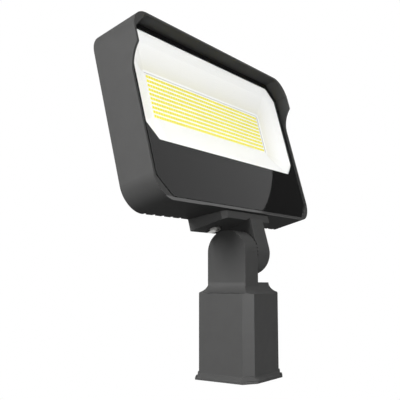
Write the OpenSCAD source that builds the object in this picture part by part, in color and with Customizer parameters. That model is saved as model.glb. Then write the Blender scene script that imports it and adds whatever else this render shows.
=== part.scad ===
// Flood light head on a toothed knuckle and a slipfitter for a round pole top, in mm.
// Z is up and the light faces the negative Y direction.
// The origin is the middle of the slipfitter's open lower mouth.
// Head pieces are drawn in head coordinates: across, up the face, and out of the face.

/* [Head] */
// Width of the head across the face
head_w = 319; // [280:1:400]
// Height of the head up the face
head_h = 198; // [190:1:260]
// Depth of the head from front rim to fin tips
head_d = 43; // [40:1:60]
// Outer corner radius of the head
corner_r = 26; // [20:1:34]
// Wall thickness of the head
wall = 3; // [2.5:0.1:4]
// Distance from the tilt axis up to the head's lower side
head_rise = 41; // [38:1:60]
// Distance from the tilt axis out to the front rim
face_ahead = 25; // [24:0.5:32]
// Angle the head leans back when at rest
tilt_back = 15; // [0:1:40]
// Thickness of the plate behind the light board
back_t = 4; // [3.5:0.1:6]
// Depth from the front rim to the front of the back plate
tray_d = 21; // [21:0.5:26]
// Spacing of the cooling fins
fin_pitch = 14.5; // [12:0.5:18]
// Thickness of a cooling fin
fin_t = 2.6; // [2:0.1:4]
// Number of cooling fins to each side of the middle one
fin_side = 9; // [4:1:9]
// Radius of the notches in the lower rear edge, one at each fin
notch_r = 2.4; // [1.5:0.1:3]
// Distance the visor stands out past the rim
visor_d = 13.2; // [8:0.1:30]
// Height of the visor's side wings at their front
visor_side = 40.3; // [30:0.1:60]
// Radius of the hollow cut under each visor wing
visor_cove = 40; // [31:1:60]

/* [Lens] */
// Thickness of the glass
glass_t = 3; // [3:0.5:5]
// Distance the glass stands out past the rim
glass_out = 0.6; // [0:0.1:1]
// Gap around the edge of the glass
glass_gap = 0.4; // [0.3:0.1:1]
// Corner cut of the glass
glass_cut = 20; // [16:1:24]
// Thickness of the black print
mask_t = 0.2; // [0.1:0.05:0.4]
// Width of the ledge under the gasket
ledge = 4; // [3:0.5:4]
// Thickness of the gasket
gasket_t = 3; // [2:0.5:4]
// Black border at each side of the window
window_side = 8.3; // [8.2:0.1:14]
// Black border above the window
window_top = 9.3; // [8.5:0.1:20]
// Black panel below the window
window_low = 63.5; // [60:0.5:80]
// Corner cut of the window
window_cut = 16; // [12:1:18]

/* [Light source] */
// Bare edge of the light board to each side of the light chips
board_edge = 18; // [16:0.5:22]
// Height of the light board
board_h = 88; // [80:1:90]
// Thickness of the light board
board_t = 1.6; // [1:0.1:2]
// Thickness of the heat pad under the board
pad_t = 0.4; // [0.2:0.1:1]
// Height of the board's middle above the head's lower side
board_mid = 123.3; // [120:0.5:130]
// Number of rows of light chips
led_rows = 10; // [4:1:10]
// Width of the field of light chips
led_field_w = 228; // [200:1:230]
// Height from the first to the last row of light chips
led_field_h = 46; // [40:1:47]
// Height of a row of light chips
led_size = 2.8; // [2:0.1:3.5]
// Thickness of a light chip
led_t = 0.7; // [0.4:0.1:1]
// Wall of the white reflector
reflector_t = 0.9; // [0.6:0.1:1.2]
// Gap from the light chips to the reflector at each side
port_gap_x = 2.5; // [1:0.5:4]
// Gap from the light chips to the reflector above and below
port_gap_y = 1.6; // [1:0.2:4]
// Distance from the head's side to the outer reflector screws
tab_screw_in = 39.5; // [34:0.5:50]

/* [Power unit] */
// Width of the driver
driver_w = 140; // [100:1:150]
// Height of the driver
driver_h = 42; // [30:1:44]
// Thickness of the driver
driver_t = 10.5; // [8:0.5:11]
// Distance from the head's lower side up to the driver
driver_low = 8.3; // [7.5:0.1:10]
// Thickness of a mounting ear
ear_t = 1.5; // [1:0.1:2]
// Width of a mounting ear
ear_w = 9; // [8:0.5:12]
// Height of a mounting ear
ear_h = 16; // [10:1:20]
// Width of the surge protector
surge_w = 30; // [20:1:32]
// Height of the surge protector
surge_h = 22; // [16:1:30]
// Width of the terminal block
terminal_w = 26; // [20:1:28]
// Height of the terminal block
terminal_h = 14; // [10:1:18]
// Thickness of the terminal block
terminal_t = 9; // [7:0.5:10]
// Radius of an inner lead
lead_r = 1.1; // [0.8:0.1:1.3]
// Distance across from the middle to the cable gland
gland_x = 94.25; // [90:0.25:98]
// Height of the cable gland above the head's lower side
gland_v = 30; // [26:1:36]
// Radius of the cable gland's thread
gland_r = 6; // [5:0.5:6]
// Radius of the cable hole in the gland
cable_r = 4; // [3:0.5:4.5]

/* [Bracket] */
// Thickness of the bracket's base at the front
base_front_t = 8.5; // [7:0.5:10]
// Thickness of the bracket's base at the back
base_back_t = 13.5; // [12:0.5:14]
// Width of the bracket's base at the front
base_front_w = 100; // [90:1:120]
// Width of the bracket's base at the back
base_back_w = 130; // [126:1:150]
// Distance the base sits to the right of the middle
base_shift = 7; // [5:0.5:9]
// Distance from the rim back to the base's front face
base_inset = 5; // [4:0.5:8]
// Corner cut at the front of the base
base_cut = 5; // [3:1:8]
// Distance between the two bracket bolts
bolt_span = 66; // [60:1:72]
// Distance from the fin tips forward to the bracket bolts
bolt_ahead = 9; // [8.5:0.5:10]
// Thread radius of a bracket bolt
bolt_r = 4; // [3:0.5:4]
// Depth of the bolt sinks in the base, at the bolt
sink_d = 4.5; // [3.5:0.5:6]
// Radius of the bolt sinks in the base
sink_r = 8.6; // [8.6:0.1:9]

/* [Knuckle] */
// Height of the tilt axis over the slipfitter's mouth
axis_z = 135.8; // [132:0.2:150]
// Radius of the knuckle's round ends
lug_r = 24.2; // [22:0.2:26]
// Thickness of the slipfitter's knuckle ear
lug_t = 26.6; // [24:0.2:30]
// Thickness of the head's knuckle ear
arm_t = 26.8; // [24:0.2:30]
// Distance the knuckle seam sits to the right of the middle
seam_x = 1.2; // [0:0.2:3]
// Gap between the two toothed faces
seam_gap = 0.3; // [0.2:0.05:0.5]
// Number of teeth around the knuckle
teeth = 36; // [24:12:36]
// Depth of the tooth grooves
tooth_d = 1.3; // [0.8:0.1:1.6]
// Inner radius of the tooth ring
tooth_in = 15; // [14:0.5:16]
// Thread radius of the knuckle bolt
knuckle_r = 6; // [5:0.5:6.5]

/* [Slipfitter] */
// Width of the slipfitter from side to side
fitter_w = 76; // [74:1:84]
// Width of the slipfitter from front to back
fitter_d = 69.6; // [69:0.2:80]
// Corner cut of the slipfitter along its side to side width
fitter_cut_x = 12.3; // [8:0.1:12.5]
// Corner cut of the slipfitter along its front to back width
fitter_cut_y = 7.3; // [5:0.1:7.5]
// Height of the slipfitter's straight body
fitter_h = 91.4; // [88:0.2:95]
// Height of the shelf beside the knuckle ear
shelf_z = 103; // [102:0.2:106]
// Distance the foot flares out
foot_out = 4; // [2:0.5:6]
// Height of the foot
foot_h = 6.4; // [5:0.1:9]
// Radius of the pole top socket
socket_r = 31; // [30.6:0.1:31.4]
// Depth of the pole top socket
socket_d = 80; // [70:1:84]
// Thread radius of a clamp screw
clamp_r = 4; // [3:0.5:4]
// Height of the lower clamp screws
clamp_low = 22; // [18:1:26]
// Height of the upper clamp screws
clamp_high = 60; // [50:1:66]
// Distance a clamp screw can turn inwards
clamp_travel = 4; // [3:0.5:5]

/* [Hidden] */
// Radial gap of a screw in its thread and of the bolt the head turns on
thread_gap = 0.05;
// Share of a tooth by which the first groove is turned from the head's upright
tooth_turn = 0.15;
// Radial gap of a bolt in a plain hole
hole_gap = 0.4;
// Extra length that cuts run past a face
over = 1;
// Sideways overlap that fuses added shapes
fuse = 0.5;
round_fn = 96;
hex_fn = 6;
rim = face_ahead;
back = rim - head_d;
plate_front = rim - tray_d;
plate_back = plate_front - back_t;
head_low = head_rise;
head_top = head_rise + head_h;
head_mid = head_rise + head_h / 2;
glass_front = rim + glass_out;
glass_back = glass_front - glass_t;
mask_back = glass_back - mask_t;
seat = mask_back - gasket_t;
window_l = head_low + window_low;
window_h = head_top - window_top;
window_x = head_w / 2 - window_side;
board_v = head_low + board_mid;
board_w = led_field_w + 2 * board_edge;
port_w = led_field_w + 2 * port_gap_x;
port_h = led_field_h + led_size + 2 * port_gap_y;
board_front = plate_front + pad_t + board_t;
led_pitch = led_field_h / (led_rows - 1);
led_first = board_v - led_field_h / 2;
port_low = board_v - port_h / 2;
port_high = board_v + port_h / 2;
port_level = board_front + 0.1;
mouth = mask_back - 1.8;
tab_w = head_w - 2 * (wall + ledge + 7.5);
tab_h = 10;
flange_v = window_l - tab_h / 2;
m3_r = 1.5;
m3_head_r = 2.8;
m3_head_t = 1.6;
m3_hole_gap = 0.2;
tab_screw_deep = 6.5;
tab_post_r = 3.6;
screw_end = 0.3;
tab_screw_x = head_w / 2 - tab_screw_in;
board_screw_in = 4;
board_screw_rise = 12;
plate_screw_deep = 3;
driver_v = head_low + driver_low + driver_h / 2;
driver_top = driver_v + driver_h / 2;
module_level = plate_front + 0.2;
ear_level = module_level + ear_t;
surge_x = head_w / 2 - wall - ledge - 15.5 - surge_w / 2;
surge_screw_x = surge_x - surge_w / 2 - ear_w / 2;
terminal_x = terminal_w / 2 + 7.5 + wall + ledge - head_w / 2;
terminal_hole_r = 2.2;
terminal_hole_span = 8;
lead_x = -30;
lead_gap = 6;
lead_level = plate_front + 5.5;
lead_bend = 2.5;
lead_end = board_v - board_h / 2 + 3.2;
vent_x = 94.25;
vent_v = head_top - 23;
vent_r = 4;
vent_head_r = 7;
vent_head_t = 4;
clear_r = 13;
gland_hex_r = 9.5;
gland_hex_t = 5;
gland_cap_r = 8.2;
gland_cap_t = 9.9;
gland_back = 12;
gland_front = 6;
gland_nut_r = 8.6;
gland_nut_t = 3.5;
base_front = rim - base_inset;
bolt_w = back + bolt_ahead;
base_slope = (base_back_t - base_front_t) / (base_front - back);
bolt_seat = base_level(bolt_w) + sink_d;
bolt_x1 = base_shift - bolt_span / 2;
bolt_x2 = base_shift + bolt_span / 2;
bolt_head_t = 5.3;
bolt_head_r = 7.5;
bolt_washer_t = 1.2;
bolt_washer_r = 8;
boss_h = 21;
boss_w = 16;
bolt_in = 16;
lug_x0 = seam_x - seam_gap / 2 - lug_t;
lug_x1 = seam_x - seam_gap / 2;
arm_x0 = seam_x + seam_gap / 2;
arm_x1 = arm_x0 + arm_t;
washer_t = 2.5;
washer_r = 12;
lock_t = 3;
lock_r = 10.5;
knuckle_head_t = 7.5;
knuckle_head_r = 10.97;
knuckle_deep = 20;
cove_side = fitter_w / 2 + lug_x0 + 0.15;
cove_front = fitter_d / 2 - lug_r + 1.1;
seam_turn = 20;
corner_len = sqrt(fitter_cut_x * fitter_cut_x + fitter_cut_y * fitter_cut_y);
corner_mid = fitter_w / 2 * fitter_cut_y + (fitter_d / 2 - fitter_cut_y) * fitter_cut_x;
foot_end = foot_h + foot_h * 0.6 / foot_out;
pad_out = 2.5;
pad_r = 9;
clamp_tip = 0.3;
clamp_head_t = 5.3;
clamp_head_r = 7.5;

// Places head coordinates in the row frame at the rest tilt
module in_head() {
    translate([0, 0, axis_z])
        rotate([90 - tilt_back, 0, 0])
            children();
}

// Round cornered plate with its middle on the head's middle
module round_plate(w, h, r, low, high) {
    x = w / 2 - r;
    y = h / 2 - r;
    translate([0, head_mid, low])
        linear_extrude(high - low)
            union() {
                square([w - 2 * r, h], center = true);
                square([w, h - 2 * r], center = true);
                translate([x, y])
                    circle(r, $fn = round_fn);
                translate([-x, y])
                    circle(r, $fn = round_fn);
                translate([x, -y])
                    circle(r, $fn = round_fn);
                translate([-x, -y])
                    circle(r, $fn = round_fn);
            }
}

// Flat outline with four cut corners between given edges
module cut_outline(x, low, high, c) {
    polygon([
        [-x + c, low], [x - c, low], [x, low + c], [x, high - c],
        [x - c, high], [-x + c, high], [-x, high - c], [-x, low + c]
    ]);
}

// Outline that lies a given distance inside the head's outer faces
module inset_outline(inset) {
    c = glass_cut - (inset - wall) * (2 - sqrt(2));
    cut_outline(head_w / 2 - inset, head_low + inset, head_top - inset, c);
}

// Plate between two levels with that outline
module inset_plate(inset, low, high) {
    translate([0, 0, low])
        linear_extrude(high - low)
            inset_outline(inset);
}

// Rod along the outward direction of the head
module rod(x, v, r, low, high) {
    translate([x, v, low])
        cylinder(h = high - low, r = r, $fn = round_fn);
}

// Side view of the head with the visor wings, extruded across
module side_view() {
    far = head_top + over;
    reach = sqrt(visor_cove * visor_cove - (visor_cove - visor_d) * (visor_cove - visor_d));
    start = head_top - visor_side - reach;
    rotate([90, 0, 90])
        linear_extrude(head_w + 2 * over, center = true)
            difference() {
                polygon([
                    [head_low - over, back - over], [far, back - over], [far, rim + visor_d],
                    [head_low - over, rim + visor_d]
                ]);
                translate([start, rim + visor_cove])
                    circle(visor_cove, $fn = round_fn);
                translate([head_low - 2 * over, rim])
                    square([start - head_low + 2 * over, visor_d + over]);
            }
}

module housing() {
    color("dimgray")
        in_head()
            difference() {
                union() {
                    difference() {
                        intersection() {
                            round_plate(head_w, head_h, corner_r, back, rim + visor_d);
                            side_view();
                        }
                        inset_plate(wall, seat, rim + visor_d + over);
                        inset_plate(wall + ledge, plate_front, seat + over);
                        round_plate(head_w - 2 * wall, head_h - 2 * wall, corner_r - wall,
                            back - over, plate_back);
                    }
                    fins();
                    for (x = [bolt_x1, bolt_x2])
                        translate([x - boss_w / 2, head_low, back])
                            cube([boss_w, boss_h, plate_back - back + fuse]);
                    for (x = [-tab_screw_x, 0, tab_screw_x])
                        rod(x, flange_v, tab_post_r, plate_front - fuse, mouth - reflector_t);
                }
                rod(-gland_x, head_low + gland_v, clear_r, back - over, plate_back);
                rod(-gland_x, head_low + gland_v, gland_r + thread_gap, back - over, plate_front + over);
                rod(vent_x, vent_v, clear_r, back - over, plate_back);
                rod(vent_x, vent_v, vent_r + thread_gap, back - over, plate_front + over);
                for (x = [-tab_screw_x, 0, tab_screw_x])
                    rod(x, flange_v, m3_r + thread_gap, mouth - tab_screw_deep - screw_end, mouth);
                for (p = screw_spots())
                    rod(p[0], p[1], m3_r + thread_gap, plate_front - plate_screw_deep - screw_end,
                        plate_front + over);
                for (x = [bolt_x1, bolt_x2])
                    translate([x, head_low - over, bolt_w])
                        rotate([-90, 0, 0])
                            cylinder(h = bolt_in + 2 + over, r = bolt_r + thread_gap, $fn = round_fn);
                for (i = [-fin_side:fin_side])
                    if (abs(i * fin_pitch - base_shift) > base_back_w / 2 + notch_r)
                        translate([i * fin_pitch, head_low - over, back])
                            rotate([-90, 0, 0])
                                cylinder(h = wall + 3 + over, r = notch_r, $fn = round_fn);
            }
}

module fins() {
    for (i = [-fin_side:fin_side])
        translate([i * fin_pitch - fin_t / 2, head_low + wall - fuse, back])
            cube([fin_t, head_h - 2 * wall + 2 * fuse, plate_back - back + fuse]);
}

// Places of the small screws that thread into the back plate
function board_spots() = [
    [-board_w / 2 + board_screw_in, board_v - board_screw_rise],
    [-board_w / 2 + board_screw_in, board_v + board_screw_rise],
    [board_w / 2 - board_screw_in, board_v - board_screw_rise],
    [board_w / 2 - board_screw_in, board_v + board_screw_rise],
    [0, board_v - board_h / 2 + board_screw_in],
    [0, board_v + board_h / 2 - board_screw_in]
];
function module_spots() = [
    [-driver_w / 2 - ear_w / 2, driver_v], [driver_w / 2 + ear_w / 2, driver_v],
    [surge_screw_x, driver_v]
];
function screw_spots() = concat(board_spots(), module_spots());

module glass_lens() {
    color("lightblue", 0.4)
        in_head()
            inset_plate(wall + glass_gap, glass_back, glass_front);
}

module lens_mask() {
    color("black")
        in_head()
            translate([0, 0, mask_back])
                linear_extrude(mask_t)
                    difference() {
                        inset_outline(wall + glass_gap);
                        cut_outline(window_x, window_l, window_h, window_cut);
                    }
}

module lens_gasket() {
    color("gray")
        in_head()
            translate([0, 0, seat])
                linear_extrude(gasket_t)
                    difference() {
                        inset_outline(wall + glass_gap);
                        inset_outline(wall + ledge);
                    }
}

// Sloped hollow of the reflector, grown sideways by a given amount
module reflector_hollow(grow, low, high) {
    slope_x = (window_x - port_w / 2) / (mouth - port_level);
    slope_l = (port_low - window_l) / (mouth - port_level);
    slope_h = (window_h - port_high) / (mouth - port_level);
    x0 = port_w / 2 + grow - slope_x * (port_level - low);
    x1 = port_w / 2 + grow + slope_x * (high - port_level);
    l0 = port_low - grow + slope_l * (port_level - low);
    l1 = port_low - grow - slope_l * (high - port_level);
    h0 = port_high + grow - slope_h * (port_level - low);
    h1 = port_high + grow + slope_h * (high - port_level);
    intersection() {
        rotate([90, 0, 0])
            translate([0, 0, -head_top - over])
                linear_extrude(head_h + 2 * over)
                    polygon([[-x0, low], [x0, low], [x1, high], [-x1, high]]);
        rotate([90, 0, 90])
            linear_extrude(head_w, center = true)
                polygon([[l0, low], [h0, low], [h1, high], [l1, high]]);
        corner_keep(x0 + h0, x1 + h1 - window_cut, low, high, 1);
        corner_keep(x0 - l0, x1 - l1 - window_cut, low, high, -1);
    }
}

// Keeps what lies inside two slanted corner planes, top corners for side 1 and lower ones for -1
module corner_keep(s0, s1, low, high, side) {
    d0 = s0 / sqrt(2);
    d1 = s1 / sqrt(2);
    far = 2 * head_w;
    intersection() {
        rotate([0, 0, side * 45])
            rotate([90, 0, 0])
                linear_extrude(2 * far, center = true)
                    polygon([[-far, low], [d0, low], [d1, high], [-far, high]]);
        mirror([1, 0, 0])
            rotate([0, 0, side * 45])
                rotate([90, 0, 0])
                    linear_extrude(2 * far, center = true)
                        polygon([[-far, low], [d0, low], [d1, high], [-far, high]]);
    }
}

module reflector() {
    color("white")
        in_head()
            difference() {
                union() {
                    reflector_hollow(reflector_t, port_level, mouth);
                    translate([-tab_w / 2, flange_v - tab_h / 2, mouth - reflector_t])
                        cube([tab_w, tab_h, reflector_t]);
                }
                reflector_hollow(0, port_level - over, mouth + over);
                for (x = [-tab_screw_x, 0, tab_screw_x])
                    rod(x, flange_v, m3_r + m3_hole_gap, mouth - reflector_t - over, mouth + over);
            }
}

// Pan head screw with its head on a given level
module small_screw(x, v, level, deep) {
    rod(x, v, m3_head_r, level, level + m3_head_t);
    rod(x, v, m3_r, level - deep, level + fuse);
}

module reflector_screws() {
    color("silver")
        in_head()
            for (x = [-tab_screw_x, 0, tab_screw_x])
                small_screw(x, flange_v, mouth, tab_screw_deep);
}

module led_board() {
    color("whitesmoke")
        in_head()
            difference() {
                translate([-board_w / 2, board_v - board_h / 2, plate_front + pad_t])
                    cube([board_w, board_h, board_t]);
                for (p = board_spots())
                    rod(p[0], p[1], m3_r + m3_hole_gap, plate_front - over, board_front + over);
            }
}

module heat_pad() {
    color("lightgray")
        in_head()
            difference() {
                translate([-board_w / 2, board_v - board_h / 2, plate_front])
                    cube([board_w, board_h, pad_t]);
                for (p = board_spots())
                    rod(p[0], p[1], m3_r + m3_hole_gap, plate_front - over, board_front + over);
            }
}

module led_rows_lit() {
    color("gold")
        in_head()
            for (i = [0:led_rows - 1])
                translate([-led_field_w / 2, led_first + i * led_pitch - led_size / 2, board_front])
                    cube([led_field_w, led_size, led_t]);
}

module board_screws() {
    color("silver")
        in_head()
            for (p = board_spots())
                small_screw(p[0], p[1], board_front, board_front - plate_front + plate_screw_deep);
}

module driver() {
    color("gainsboro")
        in_head()
            difference() {
                union() {
                    translate([-driver_w / 2, driver_v - driver_h / 2, module_level])
                        cube([driver_w, driver_h, driver_t]);
                    translate([-driver_w / 2 - ear_w, driver_v - ear_h / 2, module_level])
                        cube([driver_w + 2 * ear_w, ear_h, ear_t]);
                }
                for (side = [-1, 1])
                    rod(side * (driver_w / 2 + ear_w / 2), driver_v, m3_r + m3_hole_gap, plate_front - over,
                        rim);
            }
}

module surge_protector() {
    color("orangered")
        in_head()
            difference() {
                union() {
                    translate([surge_x - surge_w / 2, driver_v - surge_h / 2, module_level])
                        cube([surge_w, surge_h, driver_t - 1]);
                    translate([surge_x - surge_w / 2 - ear_w, driver_v - ear_h / 2, module_level])
                        cube([ear_w + over, ear_h, ear_t]);
                }
                rod(surge_screw_x, driver_v, m3_r + m3_hole_gap, plate_front - over, rim);
            }
}

module terminal_block() {
    color("ivory")
        in_head()
            difference() {
                translate([terminal_x - terminal_w / 2, driver_v - terminal_h / 2, module_level])
                    cube([terminal_w, terminal_h, terminal_t]);
                for (x = [-terminal_hole_span, 0, terminal_hole_span])
                    rod(terminal_x + x, driver_v, terminal_hole_r, module_level + terminal_t / 2,
                        module_level + terminal_t + over);
            }
}

module module_screws() {
    color("silver")
        in_head()
            for (p = module_spots())
                small_screw(p[0], p[1], ear_level, ear_level - plate_front + plate_screw_deep);
}

// One lead from the driver's upper side to the light board
module lead(x) {
    union() {
        translate([x, driver_top, lead_level])
            rotate([-90, 0, 0])
                cylinder(h = lead_end - lead_bend - driver_top, r = lead_r, $fn = round_fn);
        translate([x, lead_end - lead_bend, lead_level - lead_bend])
            rotate([0, -90, 0])
                rotate_extrude(angle = 90, $fn = round_fn)
                    translate([lead_bend, 0])
                        circle(lead_r, $fn = round_fn);
        rod(x, lead_end, lead_r, board_front, lead_level - lead_bend);
    }
}

module lead_red() {
    color("red")
        in_head()
            lead(lead_x);
}

module lead_black() {
    color("black")
        in_head()
            lead(lead_x + lead_gap);
}

// Six sided ring along the outward direction of the head
module hex_ring(x, v, r, inner, low, high) {
    difference() {
        translate([x, v, low])
            cylinder(h = high - low, r = r, $fn = hex_fn);
        rod(x, v, inner, low - over, high + over);
    }
}

module cable_gland() {
    v = head_low + gland_v;
    color("black")
        in_head()
            difference() {
                union() {
                    rod(-gland_x, v, gland_r, plate_back - gland_back, plate_front + gland_front);
                    translate([-gland_x, v, plate_back - gland_hex_t])
                        cylinder(h = gland_hex_t, r = gland_hex_r, $fn = hex_fn);
                }
                rod(-gland_x, v, cable_r, back - over, rim);
            }
}

module gland_cap() {
    v = head_low + gland_v;
    near = plate_back - gland_hex_t - 0.1;
    color("black")
        in_head()
            difference() {
                rod(-gland_x, v, gland_cap_r, near - gland_cap_t, near);
                rod(-gland_x, v, gland_r + thread_gap, plate_back - gland_back - 0.3, plate_back);
                rod(-gland_x, v, cable_r, near - gland_cap_t - over, plate_back);
            }
}

module gland_nut() {
    color("black")
        in_head()
            hex_ring(-gland_x, head_low + gland_v, gland_nut_r, gland_r + thread_gap, plate_front,
                plate_front + gland_nut_t);
}

module vent_plug() {
    color("black")
        in_head()
            union() {
                rod(vent_x, vent_v, vent_head_r, plate_back - vent_head_t, plate_back);
                rod(vent_x, vent_v, vent_r, plate_back - over, plate_front);
            }
}

// Grooves that leave the teeth on a face looking along positive X
module tooth_cuts(x, out) {
    step = 360 / teeth;
    half = tooth_in * sin(step / 2) * 0.85;
    wide = half * (tooth_d + over) / tooth_d;
    for (i = [0:teeth - 1])
        translate([x, 0, axis_z])
            rotate([(i + tooth_turn) * step - tilt_back, 0, 0])
                translate([0, 0, tooth_in])
                    linear_extrude(lug_r - tooth_in + 0.6)
                        polygon([[out * over, -wide], [out * over, wide], [-out * tooth_d, 0]]);
}

// Knuckle ear round the axis, with a straight part of a given length up the second axis
module ear(x, t, long) {
    translate([x, 0, 0])
        rotate([90, 0, 90])
            linear_extrude(t)
                union() {
                    circle(lug_r, $fn = round_fn);
                    translate([0, -lug_r])
                        square([long, 2 * lug_r]);
                }
}

// Level of the base's underside at a place between the back and the front
function base_level(w) = head_low - base_back_t + (w - back) * base_slope;

// Side view of the base: a wedge that is thicker at the back
module base_side() {
    translate([base_shift - base_back_w / 2 - 1, 0, 0])
        rotate([90, 0, 90])
            linear_extrude(base_back_w + 2)
                polygon([
                    [head_low + 1, back - 1], [base_level(back - 1), back - 1],
                    [base_level(base_front + 1), base_front + 1], [head_low + 1, base_front + 1]
                ]);
}

module bracket() {
    xf = base_front_w / 2;
    xb = base_back_w / 2;
    under_head = head_low - bolt_seat + 2 * over;
    color("dimgray")
        difference() {
            union() {
                in_head()
                    union() {
                        intersection() {
                            translate([base_shift, head_low, 0])
                                rotate([90, 0, 0])
                                    linear_extrude(base_back_t + 1)
                                        polygon([
                                            [-xf + base_cut, base_front], [xf - base_cut, base_front],
                                            [xf, base_front - base_cut], [xb, back], [-xb, back],
                                            [-xf, base_front - base_cut]
                                        ]);
                            base_side();
                        }
                        ear(arm_x0, arm_t, head_low - base_front_t + 1);
                    }
            }
            tooth_cuts(arm_x0, -1);
            translate([arm_x0 - over, 0, axis_z])
                rotate([0, 90, 0])
                    cylinder(h = arm_t + 2 * over, r = knuckle_r + thread_gap, $fn = round_fn);
            in_head()
                for (x = [bolt_x1, bolt_x2])
                    translate([x, bolt_seat, bolt_w])
                        rotate([-90, 0, 0])
                            union() {
                                translate([0, 0, -over])
                                    cylinder(h = under_head, r = bolt_r + hole_gap, $fn = round_fn);
                                translate([0, 0, -base_back_t])
                                    cylinder(h = base_back_t, r = sink_r, $fn = round_fn);
                            }
        }
}

module bracket_bolts() {
    level = bolt_seat - bolt_washer_t;
    color("silver")
        in_head()
            for (x = [bolt_x1, bolt_x2])
                translate([x, level, bolt_w])
                    rotate([-90, 0, 0])
                        union() {
                            translate([0, 0, -bolt_head_t])
                                cylinder(h = bolt_head_t, r = bolt_head_r, $fn = hex_fn);
                            cylinder(h = head_low + bolt_in - level, r = bolt_r, $fn = round_fn);
                        }
}

module bracket_washers() {
    level = bolt_seat - bolt_washer_t;
    color("silver")
        in_head()
            for (x = [bolt_x1, bolt_x2])
                translate([x, level, bolt_w])
                    rotate([-90, 0, 0])
                        difference() {
                            cylinder(h = bolt_washer_t, r = bolt_washer_r, $fn = round_fn);
                            translate([0, 0, -over])
                                cylinder(h = bolt_washer_t + 2 * over, r = bolt_r + 0.2, $fn = round_fn);
                        }
}

// Outline of the slipfitter grown outwards, its cut corners by an amount of their own
module fitter_outline(grow, corner_grow) {
    x = fitter_w / 2 + grow;
    y = fitter_d / 2 + grow;
    reach = corner_mid + corner_grow * corner_len;
    nx = (reach - y * fitter_cut_x) / fitter_cut_y;
    ny = (reach - x * fitter_cut_y) / fitter_cut_x;
    polygon([[-x, -ny], [-nx, -y], [nx, -y], [x, -ny], [x, ny], [nx, y], [-nx, y], [-x, ny]]);
}

// Side view of the foot's slope, which runs on into the body
function foot_view(half) = [
    [-half - foot_out, foot_h * 0.4], [half + foot_out, foot_h * 0.4], [half - 1, foot_end],
    [-half + 1, foot_end]
];

module foot() {
    linear_extrude(foot_h * 0.4)
        fitter_outline(foot_out, foot_out);
    intersection() {
        translate([0, 0, foot_h * 0.4 - 0.1])
            linear_extrude(foot_h)
                fitter_outline(foot_out, foot_out * 0.35);
        rotate([90, 0, 0])
            linear_extrude(4 * fitter_w, center = true)
                polygon(foot_view(fitter_w / 2));
        rotate([90, 0, 90])
            linear_extrude(4 * fitter_w, center = true)
                polygon(foot_view(fitter_d / 2));
    }
}

// Rods that hollow the shoulders beside the knuckle
module shoulder_cuts() {
    for (side = [-1, 1]) {
        translate([side * (fitter_w / 2 + 0.2), 0, fitter_h + cove_side])
            rotate([90, 0, 0])
                rotate([0, 0, seam_turn])
                    cylinder(h = 2 * fitter_d, r = cove_side, center = true, $fn = round_fn);
        translate([0, side * (fitter_d / 2 + 0.2), fitter_h + cove_front])
            rotate([0, 90, 0])
                rotate([0, 0, seam_turn])
                    cylinder(h = 2 * fitter_w, r = cove_front, center = true, $fn = round_fn);
    }
}

module slipfitter() {
    color("dimgray")
        difference() {
            union() {
                difference() {
                    linear_extrude(shelf_z)
                        fitter_outline(0, 0);
                    shoulder_cuts();
                }
                foot();
                translate([0, 0, axis_z])
                    rotate([-90, 0, 0])
                        ear(lug_x0, lug_t, axis_z - shelf_z + 8);
                for (z = [clamp_low, clamp_high]) {
                    translate([fitter_w / 2 - fuse, 0, z])
                        rotate([0, 90, 0])
                            cylinder(h = pad_out + fuse, r = pad_r, $fn = round_fn);
                    translate([0, fitter_d / 2 - fuse, z])
                        rotate([-90, 0, 0])
                            cylinder(h = pad_out + fuse, r = pad_r, $fn = round_fn);
                }
            }
            translate([0, 0, -over])
                cylinder(h = socket_d + over, r = socket_r, $fn = round_fn);
            tooth_cuts(lug_x1, 1);
            translate([lug_x1 - knuckle_deep - 1.5, 0, axis_z])
                rotate([0, 90, 0])
                    cylinder(h = knuckle_deep + 1.5 + over, r = knuckle_r + thread_gap, $fn = round_fn);
            for (z = [clamp_low, clamp_high]) {
                translate([0, 0, z])
                    rotate([0, 90, 0])
                        cylinder(h = fitter_w, r = clamp_r + thread_gap, $fn = round_fn);
                translate([0, 0, z])
                    rotate([-90, 0, 0])
                        cylinder(h = fitter_w, r = clamp_r + thread_gap, $fn = round_fn);
            }
        }
}

module knuckle_bolt() {
    level = arm_x1 + washer_t + lock_t;
    color("silver")
        translate([0, 0, axis_z])
            rotate([0, 90, 0])
                union() {
                    translate([0, 0, level])
                        cylinder(h = knuckle_head_t, r = knuckle_head_r, $fn = hex_fn);
                    translate([0, 0, lug_x1 - knuckle_deep])
                        cylinder(h = level - lug_x1 + knuckle_deep, r = knuckle_r, $fn = round_fn);
                }
}

// Ring on the knuckle bolt
module knuckle_ring(start, t, outer) {
    translate([start, 0, axis_z])
        rotate([0, 90, 0])
            difference() {
                cylinder(h = t, r = outer, $fn = round_fn);
                translate([0, 0, -over])
                    cylinder(h = t + 2 * over, r = knuckle_r + 0.2, $fn = round_fn);
            }
}

module knuckle_washer() {
    color("silver")
        knuckle_ring(arm_x1 + 0.05, washer_t - 0.05, washer_r);
}

// Split ring with its slot upwards
module knuckle_lock_ring() {
    color("silver")
        difference() {
            knuckle_ring(arm_x1 + washer_t, lock_t, lock_r);
            translate([arm_x1 + washer_t - over, -0.8, axis_z])
                cube([lock_t + 2 * over, 1.6, 14]);
        }
}

// Clamp screw along positive X, with its tip at the socket wall
module clamp_screw(face) {
    head_at = face + pad_out + clamp_travel + 1.5;
    rotate([0, 90, 0])
        union() {
            translate([0, 0, head_at])
                cylinder(h = clamp_head_t, r = clamp_head_r, $fn = hex_fn);
            translate([0, 0, socket_r + clamp_tip])
                cylinder(h = head_at - socket_r - clamp_tip, r = clamp_r, $fn = round_fn);
        }
}

module clamp_screw_side_low() {
    color("silver")
        translate([0, 0, clamp_low])
            clamp_screw(fitter_w / 2);
}

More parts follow.
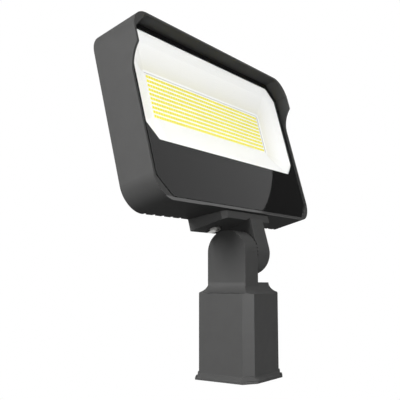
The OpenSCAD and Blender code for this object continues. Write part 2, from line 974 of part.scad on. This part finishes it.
module clamp_screw_side_high() {
    color("silver")
        translate([0, 0, clamp_high])
            clamp_screw(fitter_w / 2);
}

module clamp_screw_back_low() {
    color("silver")
        translate([0, 0, clamp_low])
            rotate([0, 0, 90])
                clamp_screw(fitter_d / 2);
}

module clamp_screw_back_high() {
    color("silver")
        translate([0, 0, clamp_high])
            rotate([0, 0, 90])
                clamp_screw(fitter_d / 2);
}

housing();
glass_lens();
lens_mask();
lens_gasket();
reflector();
reflector_screws();
led_board();
heat_pad();
led_rows_lit();
board_screws();
driver();
surge_protector();
terminal_block();
module_screws();
lead_red();
lead_black();
cable_gland();
gland_cap();
gland_nut();
vent_plug();
bracket();
bracket_bolts();
bracket_washers();
slipfitter();
knuckle_bolt();
knuckle_washer();
knuckle_lock_ring();
clamp_screw_side_low();
clamp_screw_side_high();
clamp_screw_back_low();
clamp_screw_back_high();
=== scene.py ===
"""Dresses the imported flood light: its surfaces, a camera at the photograph's view and soft studio light."""

import math

import bpy
from mathutils import Matrix, Vector

# Camera, solved from the photograph: place in metres, angles in degrees, focal length in pixels
CAMERA_PLACE = (-0.6138, -0.3813, 0.1116)
CAMERA_YAW = 54.72
CAMERA_PITCH = 6.635
FOCAL_PX = 641.6
FRAME_PX = 400
SENSOR = 36.0
CLIP_START = 0.02
CLIP_END = 50.0

# The head's tilt axis and rest tilt, as in the part's source. Head coordinates are measured from
# that axis in metres: across, up the face and out of the face
AXIS_LEVEL = 0.1358
TILT = math.radians(15.0)
UP_Y = math.sin(TILT)
UP_Z = math.cos(TILT)
OUT_Y = -math.cos(TILT)
OUT_Z = math.sin(TILT)

# Depth of the fine grain in a painted, plated or moulded surface, and the angle from which an edge
# is sharp, in degrees
GRAIN_DEPTH = 0.0001
SHARP_FROM = 30.0

# Edges of the reflector's opening for the light board, and where its slope starts and ends
PORT_RIGHT = 0.1166
PORT_TOP = 0.1909
PORT_OUT = 0.0061
MOUTH_OUT = 0.0206

# Field of light chips: its width, chips in a row, half a chip's width as a share of its step, the
# level where the pale packages end, and how deep the gaps look
LED_FIELD = 0.228
LED_COUNT = 55
CHIP_HALF = 0.40
CHIP_FOOT = 0.0063
CHIP_GAP_DEPTH = 0.0003

# Smooth lower rim of the housing: where it lies, how much it mirrors and how rough that mirror is
RIM_OUT = 0.0242
RIM_UP = 0.0446
RIM_MIRROR = 0.12
RIM_ROUGH = 0.05

# Powder coat: tone and its spread, roughness, strength and depth of the grit, share of mirror, and
# the radius of the rounded edges with the samples they take
COAT = (0.043, 0.043, 0.0425)
COAT_SPREAD = 0.04
COAT_ROUGH = (0.37, 0.48)
COAT_GRIT = 0.2
COAT_GRIT_DEPTH = 0.0002
COAT_SHEEN = 0.012
COAT_EDGE = 0.0006
EDGE_SAMPLES = 6

# Whites of the reflector and the light board, in a lower and a higher tone
SHEET_WHITE = ((0.95, 0.95, 0.945), (0.965, 0.965, 0.965))
BOARD_WHITE = ((0.9505, 0.9505, 0.9359), (0.965, 0.965, 0.955))

# Tones across the reflector's slope above and beside the light board: a grey painted shadow in the gap at the
# board, the sheet's bright edge, a warm painted shade near the board, tinted like light thrown back from the
# yellow chips, and the flat edge under the glass
SHEET_GAP_SHADOW = (0.50, 0.50, 0.52)
SHEET_RIM = (0.95, 0.95, 0.95)
SHEET_SHADE_STOPS = [
    (0.03, SHEET_GAP_SHADOW),
    (0.035, SHEET_RIM),
    (0.085, (0.96, 0.96, 0.96)),
    (0.09, (0.83, 0.82, 0.745)),
    (0.35, (0.89, 0.886, 0.86)),
    (0.72, SHEET_RIM),
    (0.73, (0.92, 0.92, 0.92)),
]

# Light chips: two tones of phosphor, and the package
PHOSPHOR = ((0.94, 0.85, 0.003), (0.97, 0.89, 0.006))
PACKAGE = (0.93, 0.915, 0.80, 1.0)

# Glass: two tints, roughness of its mirror and refractive index
GLASS_TINT = ((0.988, 0.99, 0.988), (0.992, 0.993, 0.991))
GLASS_ROUGH = 0.02
GLASS_IOR = 1.5

WHITE = (1.0, 1.0, 1.0, 1.0)

# Room that lights the object: its grey below and above, and where one turns into the other
ROOM_LOW = (0.01, 0.01, 0.01)
ROOM_HIGH = (0.18, 0.18, 0.18)
ROOM_START = 0.28
ROOM_END = 0.62

# Floor, far below the part
FLOOR_SIZE = 12.0
FLOOR_LEVEL = -2.4
FLOOR_TONE = ((0.6, 0.6, 0.6), (0.64, 0.64, 0.64))

# Lamps: place, point aimed at, width in metres and power in watts
LAMP_SPREAD = 70.0
LAMPS = {
    "side": ((-2.15, 0.35, 1.1), (0.0, 0.0, 0.1), 1.0, 16.5),
    "front": ((-0.4, -2.0, 0.5), (0.0, 0.0, 0.2), 1.2, 8.6),
    "top": ((-0.2, 0.1, 2.0), (0.0, 0.0, 0.25), 1.2, 3.8),
    "back": ((1.3, 1.9, 1.0), (0.0, 0.0, 0.15), 1.2, 9.0),
}

# Walls at the right that the lens mirrors: a grey field before a dark wall, with their places
# across, their levels, and their corners in Y and Z
GREY_X = 1.3
GREY_LEVEL = 0.62
GREY_FIELD = [
    (-0.462, 0.775), (-0.465, 0.768), (-0.481, 0.743), (-0.511, 0.708), (-0.540, 0.685), (-0.575, 0.667),
    (-0.640, 0.640), (-1.500, 0.500), (-1.500, 1.270), (-0.780, 1.270), (-0.780, 1.142), (-0.562, 0.891),
]
DARK_X = 1.31
DARK_LEVEL = 0.07
DARK_WALL = [(-2.4, -0.4), (0.2, -0.4), (0.2, 2.8), (-2.4, 2.8)]


class Nodes:
    """A short hand for building the node tree of a material or the world."""

    def __init__(self, owner, output="ShaderNodeOutputMaterial"):
        self.owner = owner
        owner.use_nodes = True
        self.tree = owner.node_tree
        self.tree.nodes.clear()
        self.out = self.tree.nodes.new(output)

    def add(self, kind, **inputs):
        node = self.tree.nodes.new(kind)
        for key, value in inputs.items():
            self.set(node.inputs[key.replace("_", " ")], value)
        return node

    def set(self, socket, value):
        if hasattr(value, "is_output"):
            self.tree.links.new(value, socket)
        else:
            socket.default_value = value

    def place(self):
        """Row frame coordinates in metres."""
        return self.add("ShaderNodeTexCoord").outputs["Object"]

    def head_place(self):
        """Head coordinates at rest: across, up the face and out of the face."""
        apart = self.add("ShaderNodeSeparateXYZ", Vector=self.place())
        deep = apart.outputs["Y"]
        high = self.math("SUBTRACT", apart.outputs["Z"], AXIS_LEVEL)
        up = self.math("ADD", self.math("MULTIPLY", deep, UP_Y), self.math("MULTIPLY", high, UP_Z))
        out = self.math("ADD", self.math("MULTIPLY", deep, OUT_Y), self.math("MULTIPLY", high, OUT_Z))
        return apart.outputs["X"], up, out

    def noise(self, scale, detail=3.0, rough=0.5):
        node = self.add("ShaderNodeTexNoise", Scale=scale, Detail=detail, Roughness=rough)
        self.set(node.inputs["Vector"], self.place())
        return node.outputs["Fac"]

    def ramp(self, factor, low, high, start=0.3, end=0.7, between=()):
        """A colour ramp from low to high, with any stops between them as pairs of place and colour."""
        node = self.add("ShaderNodeValToRGB", Fac=factor)
        stops = node.color_ramp.elements
        stops[0].position = start
        stops[1].position = end
        stops[0].color = (*low, 1.0)
        stops[1].color = (*high, 1.0)
        for place, colour in between:
            stops.new(place).color = (*colour, 1.0)
        return node.outputs["Color"]

    def span(self, value, low, high, start=0.0, end=1.0):
        """A value brought from the range start to end into the range low to high."""
        node = self.add("ShaderNodeMapRange", Value=value, From_Min=start, From_Max=end)
        self.set(node.inputs["To Min"], low)
        self.set(node.inputs["To Max"], high)
        return node.outputs["Result"]

    def bump(self, height, strength, distance):
        node = self.add("ShaderNodeBump", Height=height, Strength=strength, Distance=distance)
        return node.outputs["Normal"]

    def rounded(self, radius):
        node = self.add("ShaderNodeBevel", Radius=radius)
        node.samples = EDGE_SAMPLES
        return node.outputs["Normal"]

    def math(self, kind, first, second=None):
        node = self.tree.nodes.new("ShaderNodeMath")
        node.operation = kind
        self.set(node.inputs[0], first)
        if second is not None:
            self.set(node.inputs[1], second)
        return node.outputs["Value"]

    def blend(self, factor, colour, other):
        """One colour where the factor is zero, the other where it is one."""
        node = self.tree.nodes.new("ShaderNodeMix")
        node.data_type = "RGBA"
        self.set(node.inputs["Factor"], factor)
        self.set(node.inputs["A"], colour)
        self.set(node.inputs["B"], other)
        return node.outputs["Result"]

    def mix(self, factor, shader, other):
        """One shader where the factor is zero, the other where it is one."""
        node = self.add("ShaderNodeMixShader", Fac=factor)
        self.tree.links.new(shader.outputs[0], node.inputs[1])
        self.tree.links.new(other.outputs[0], node.inputs[2])
        return node

    def seen_white(self):
        """One for rays that show the background: from the camera, off a mirror or through glass."""
        path = self.tree.nodes.new("ShaderNodeLightPath").outputs
        direct = self.math("MAXIMUM", path["Is Camera Ray"], path["Is Transmission Ray"])
        return self.math("MAXIMUM", direct, path["Is Glossy Ray"])

    def finish(self, shader):
        self.tree.links.new(shader.outputs[0], self.out.inputs["Surface"])
        return self.owner


def new_material(name):
    return Nodes(bpy.data.materials.new(name))


def powder_coat(name, lower_rim=False):
    """Fine textured powder coat on a casting, with rounded edges and, if asked, a smooth lower rim."""
    n = new_material(name)
    low = tuple(c * (1.0 - COAT_SPREAD) for c in COAT)
    high = tuple(c * (1.0 + COAT_SPREAD) for c in COAT)
    grit = n.add(
        "ShaderNodeBump",
        Height=n.noise(2600.0, 2.0, 0.6),
        Strength=COAT_GRIT,
        Distance=COAT_GRIT_DEPTH,
        Normal=n.rounded(COAT_EDGE),
    ).outputs["Normal"]
    rough = n.span(n.noise(500.0), *COAT_ROUGH)
    body = n.add(
        "ShaderNodeBsdfPrincipled",
        Base_Color=n.ramp(n.noise(90.0, 4.0), low, high),
        Roughness=rough,
        Specular_IOR_Level=0.0,
        Normal=grit,
    )
    gloss = n.add("ShaderNodeBsdfGlossy", Color=WHITE, Roughness=rough, Normal=grit)
    coat = n.mix(COAT_SHEEN, body, gloss)
    if not lower_rim:
        return n.finish(coat)
    _, up, out = n.head_place()
    on_rim = n.math("MULTIPLY", n.math("GREATER_THAN", out, RIM_OUT), n.math("LESS_THAN", up, RIM_UP))
    mirror = n.add("ShaderNodeBsdfGlossy", Color=WHITE, Roughness=RIM_ROUGH)
    return n.finish(n.mix(n.math("MULTIPLY", on_rim, RIM_MIRROR), coat, mirror))


def plated_steel(name, tone, rough):
    n = new_material(name)
    low = tuple(c * 0.85 for c in tone)
    shader = n.add(
        "ShaderNodeBsdfPrincipled",
        Base_Color=n.ramp(n.noise(300.0), low, tone),
        Metallic=1.0,
        Roughness=n.span(n.noise(900.0), rough - 0.06, rough + 0.08),
        Normal=n.bump(n.noise(1800.0), 0.15, GRAIN_DEPTH),
    )
    return n.finish(shader)


def plastic(name, tone, rough=0.45, grain=0.2, mirror=0.3):
    n = new_material(name)
    low = tuple(c * 0.92 for c in tone)
    high = tuple(c * 1.06 for c in tone)
    shader = n.add(
        "ShaderNodeBsdfPrincipled",
        Base_Color=n.ramp(n.noise(140.0), low, high),
        Roughness=n.span(n.noise(600.0), rough - 0.05, rough + 0.05),
        Specular_IOR_Level=mirror,
        Normal=n.bump(n.noise(1500.0), grain, GRAIN_DEPTH),
    )
    return n.finish(shader)


def satin_paint(n, colour):
    """Finishes a satin painted surface of a given colour."""
    shader = n.add(
        "ShaderNodeBsdfPrincipled",
        Base_Color=colour,
        Roughness=n.span(n.noise(400.0), 0.38, 0.48),
        Specular_IOR_Level=0.2,
        Normal=n.bump(n.noise(2200.0), 0.12, GRAIN_DEPTH),
    )
    return n.finish(shader)


def board_paint(name):
    n = new_material(name)
    return satin_paint(n, n.ramp(n.noise(60.0), *BOARD_WHITE))


def reflector_paint_and_shade(name):
    """White sheet, with a painted shadow in the gap and a warm painted shade beside the light board at the
    top and right.
    """
    n = new_material(name)
    across, up, out = n.head_place()
    # Painted shade: above and beside the board, the white gives way to a painted gap shadow and a painted
    # warm shade that follow the depth of the slope
    above = n.math("GREATER_THAN", up, PORT_TOP)
    beside = n.math("GREATER_THAN", across, PORT_RIGHT)
    depth = n.span(out, 0.0, 1.0, PORT_OUT, MOUTH_OUT)
    painted_shade = n.ramp(depth, SHEET_GAP_SHADOW, SHEET_RIM, 0.0, 1.0, SHEET_SHADE_STOPS)
    plain = n.ramp(n.noise(60.0), *SHEET_WHITE)
    return satin_paint(n, n.blend(n.math("MAXIMUM", above, beside), plain, painted_shade))


def light_chips(name):
    """Yellow phosphor squares on pale packages, spaced along each row."""
    n = new_material(name)
    across, _, out = n.head_place()
    along = n.math("MULTIPLY", n.math("ADD", across, LED_FIELD / 2), LED_COUNT / LED_FIELD)
    from_middle = n.math("ABSOLUTE", n.math("SUBTRACT", n.math("FRACT", along), 0.5))
    gap = n.math("GREATER_THAN", from_middle, CHIP_HALF)
    package = n.math("MAXIMUM", gap, n.math("LESS_THAN", out, CHIP_FOOT))
    shader = n.add(
        "ShaderNodeBsdfPrincipled",
        Base_Color=n.blend(package, n.ramp(n.noise(700.0), *PHOSPHOR), PACKAGE),
        Roughness=n.span(n.noise(900.0), 0.3, 0.4),
        Specular_IOR_Level=0.0,
        Normal=n.bump(package, 0.4, CHIP_GAP_DEPTH),
    )
    return n.finish(shader)


def clear_glass(name):
    """Flat clear glass: a faint tint where light passes and a mirror that grows with the angle."""
    n = new_material(name)
    through = n.add("ShaderNodeBsdfTransparent", Color=n.ramp(n.noise(30.0), *GLASS_TINT))
    mirror = n.add("ShaderNodeBsdfGlossy", Color=WHITE, Roughness=GLASS_ROUGH)
    fresnel = n.add("ShaderNodeFresnel", IOR=GLASS_IOR).outputs["Fac"]
    outside = n.math("SUBTRACT", 1.0, n.add("ShaderNodeNewGeometry").outputs["Backfacing"])
    return n.finish(n.mix(n.math("MULTIPLY", fresnel, outside), through, mirror))


def make_camera():
    yaw = math.radians(CAMERA_YAW)
    pitch = math.radians(CAMERA_PITCH)
    ahead = Vector((math.sin(yaw) * math.cos(pitch), math.cos(yaw) * math.cos(pitch), math.sin(pitch)))
    right = Vector((math.cos(yaw), -math.sin(yaw), 0.0))
    turn = Matrix((right, right.cross(ahead), -ahead)).transposed().to_4x4()
    data = bpy.data.cameras.new("camera")
    data.sensor_width = SENSOR
    data.lens = FOCAL_PX / FRAME_PX * SENSOR
    data.clip_start = CLIP_START
    data.clip_end = CLIP_END
    camera = bpy.data.objects.new("camera", data)
    camera.matrix_world = Matrix.Translation(Vector(CAMERA_PLACE)) @ turn
    bpy.context.scene.collection.objects.link(camera)
    bpy.context.scene.camera = camera


def make_world():
    """White behind the object; a plain grey room, darker below, for everything else."""
    world = bpy.data.worlds.new("world")
    bpy.context.scene.world = world
    n = Nodes(world, "ShaderNodeOutputWorld")
    way = n.add("ShaderNodeTexCoord").outputs["Generated"]
    height = n.span(n.add("ShaderNodeSeparateXYZ", Vector=way).outputs["Z"], 0.0, 1.0, -1.0, 1.0)
    grey = n.ramp(height, ROOM_LOW, ROOM_HIGH, ROOM_START, ROOM_END)
    room = n.add("ShaderNodeBackground", Color=grey, Strength=1.0)
    white = n.add("ShaderNodeBackground", Color=WHITE, Strength=1.0)
    n.finish(n.mix(n.seen_white(), room, white))


def make_floor():
    """Pale floor far below the part, white where it is seen."""
    n = new_material("floor_paint")
    paint = n.add("ShaderNodeBsdfDiffuse", Color=n.ramp(n.noise(3.0), *FLOOR_TONE))
    white = n.add("ShaderNodeEmission", Color=WHITE, Strength=1.0)
    bpy.ops.mesh.primitive_plane_add(size=FLOOR_SIZE, location=(0.0, 0.0, FLOOR_LEVEL))
    floor = bpy.context.object
    floor.name = "floor"
    floor.data.materials.append(n.finish(n.mix(n.seen_white(), paint, white)))


def make_card(name, across, level, corners):
    """Wall out of view that only glass and metal mirror."""
    n = new_material(name)
    grey = n.add("ShaderNodeEmission", Color=(level, level, level, 1.0), Strength=1.0)
    mesh = bpy.data.meshes.new(name)
    mesh.from_pydata([(across, y, z) for y, z in corners], [], [list(range(len(corners)))])
    mesh.materials.append(n.finish(grey))
    card = bpy.data.objects.new(name, mesh)
    bpy.context.scene.collection.objects.link(card)
    card.visible_camera = False
    card.visible_diffuse = False
    card.visible_shadow = False


def make_lamp(name, place, aim, width, power):
    data = bpy.data.lights.new(name, "AREA")
    data.size = width
    data.energy = power
    data.spread = math.radians(LAMP_SPREAD)
    lamp = bpy.data.objects.new(name, data)
    lamp.location = Vector(place)
    lamp.rotation_euler = (Vector(aim) - Vector(place)).to_track_quat("-Z", "Y").to_euler()
    bpy.context.scene.collection.objects.link(lamp)


def dress(material, names):
    """Gives the named pieces a material, smooth round faces and sharp corners."""
    for name in names:
        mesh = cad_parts[name].data
        mesh.materials.clear()
        mesh.materials.append(material)
        mesh.polygons.foreach_set("use_smooth", [True] * len(mesh.polygons))
        mesh.set_sharp_from_angle(angle=math.radians(SHARP_FROM))


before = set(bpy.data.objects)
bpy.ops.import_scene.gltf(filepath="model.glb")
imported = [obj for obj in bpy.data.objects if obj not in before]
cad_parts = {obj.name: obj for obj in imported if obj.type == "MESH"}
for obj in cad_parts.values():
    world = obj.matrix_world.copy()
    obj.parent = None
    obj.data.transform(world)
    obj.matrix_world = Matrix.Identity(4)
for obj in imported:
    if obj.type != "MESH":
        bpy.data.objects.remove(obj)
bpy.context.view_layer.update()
bpy.context.scene.view_settings.view_transform = "Standard"

# Castings
dress(powder_coat("casting_coat"), ["bracket", "slipfitter"])
dress(powder_coat("housing_coat", lower_rim=True), ["housing"])

# Window and light board
dress(clear_glass("lens_glass"), ["glass_lens"])
dress(plastic("mask_print", (0.003, 0.003, 0.003), rough=0.4, grain=0.05, mirror=0.0), ["lens_mask"])
dress(plastic("gasket_rubber", (0.03, 0.03, 0.03), rough=0.6), ["lens_gasket"])
dress(reflector_paint_and_shade("reflector_paint_and_shade"), ["reflector"])
dress(board_paint("board_paint"), ["led_board"])
dress(plastic("pad_rubber", (0.25, 0.26, 0.28), rough=0.7), ["heat_pad"])
dress(light_chips("chip_phosphor"), ["led_rows_lit"])

# Modules and wires behind the black print
dress(plastic("driver_case", (0.55, 0.55, 0.52)), ["driver"])
dress(plastic("surge_case", (0.42, 0.06, 0.03), rough=0.4), ["surge_protector"])
dress(plastic("terminal_case", (0.62, 0.58, 0.48)), ["terminal_block"])
dress(plastic("lead_red_cover", (0.45, 0.02, 0.015)), ["lead_red"])
dress(plastic("lead_black_cover", (0.012, 0.012, 0.012)), ["lead_black"])

# Gland, vent plug and fasteners
dress(
    plastic("nylon", (0.014, 0.014, 0.014), rough=0.42),
    ["cable_gland", "gland_cap", "gland_nut", "vent_plug"],
)
dress(
    plated_steel("stainless_steel", (0.42, 0.415, 0.40), rough=0.34),
    [
        "reflector_screws", "board_screws", "module_screws", "bracket_bolts", "bracket_washers",
        "knuckle_bolt", "knuckle_washer", "knuckle_lock_ring", "clamp_screw_side_low",
        "clamp_screw_side_high", "clamp_screw_back_low", "clamp_screw_back_high",
    ],
)

# Camera, room and soft studio light
make_camera()
make_world()
make_floor()
for lamp_name, lamp in LAMPS.items():
    make_lamp(lamp_name, *lamp)
make_card("wall_grey", GREY_X, GREY_LEVEL, GREY_FIELD)
make_card("wall_dark", DARK_X, DARK_LEVEL, DARK_WALL)
